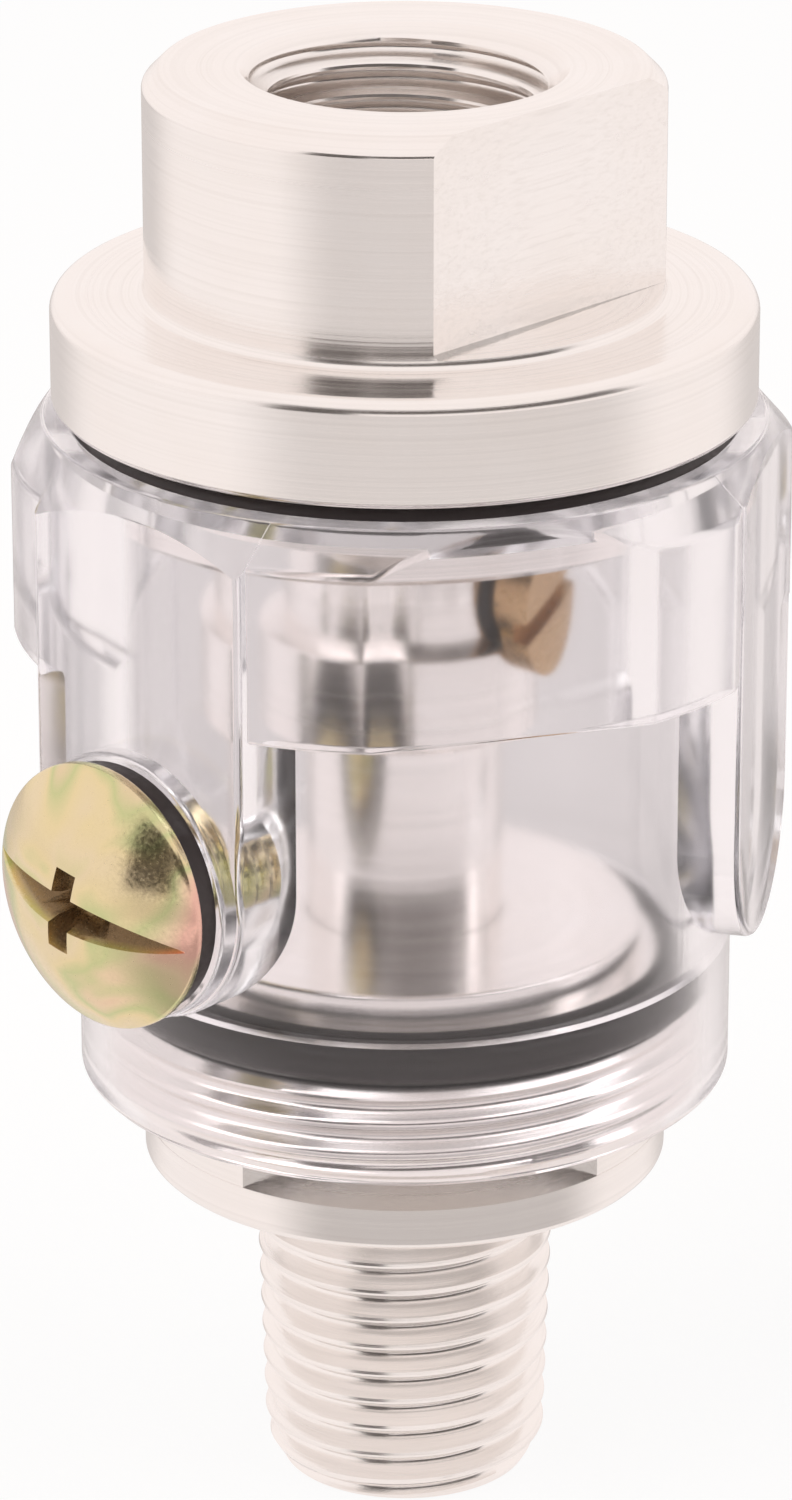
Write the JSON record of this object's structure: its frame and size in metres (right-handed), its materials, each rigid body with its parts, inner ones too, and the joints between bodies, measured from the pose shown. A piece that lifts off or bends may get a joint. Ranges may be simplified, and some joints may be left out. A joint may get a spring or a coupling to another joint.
{
  "type": "air line lubricator",
  "caption": "In-line air tool oiler: a clear oil bowl between a turned inlet cap and a threaded outlet plug, with a side filler screw and an inner metering screw.",
  "frame": {"origin": "on the bowl's axis, where the male outlet thread meets the underside of the plug's rim", "axes": "+Z along the axis from the outlet to the inlet, the filler screw faces -Y, +X to the right of it"},
  "size_m": [0.0336, 0.0365, 0.064],
  "materials": {
    "turned_aluminium": "fine turned, bright",
    "clear_polycarbonate": "moulded, clear with a faint violet tint",
    "black_rubber": "smooth moulded",
    "brass": "turned",
    "yellow_zinc_steel": "yellow zinc plated, iridescent"
  },
  "bodies": {
    "housing": {"inlet_cap": "turned_aluminium", "upper_o_ring": "black_rubber", "bowl": "clear_polycarbonate", "lower_o_ring": "black_rubber", "outlet_plug": "turned_aluminium", "air_tube": "turned_aluminium", "tube_o_ring": "black_rubber"},
    "metering_seal": {"metering_o_ring": "black_rubber"},
    "metering_screw": {"metering_screw": "brass"},
    "filler_seal": {"filler_washer": "black_rubber"},
    "filler_screw": {"filler_screw": "yellow_zinc_steel"}
  },
  "joints": [
    {"name": "filler_travel", "type": "slide", "parent": "housing", "child": "filler_seal", "axis": [0, -1, 0], "range_m": [0, 0.00721]},
    {"name": "filler_turn", "type": "hinge", "parent": "filler_seal", "child": "filler_screw", "pos_m": [0, -0.018, 0.01735], "axis": [0, -1, 0], "range_deg": [0, 3250]},
    {"name": "metering_travel", "type": "slide", "parent": "housing", "child": "metering_seal", "axis": [0.9848, 0.1736, 0], "range_m": [0, 0.000501]},
    {"name": "metering_turn", "type": "hinge", "parent": "metering_seal", "child": "metering_screw", "pos_m": [0.00709, 0.00125, 0.02745], "axis": [0.9848, 0.1736, 0], "range_deg": [0, 362]}
  ],
  "couplings": [
    {"joint": "filler_turn", "follows": "filler_travel", "rad_per_m": 7854},
    {"joint": "metering_turn", "follows": "metering_travel", "rad_per_m": 12566}
  ]
}
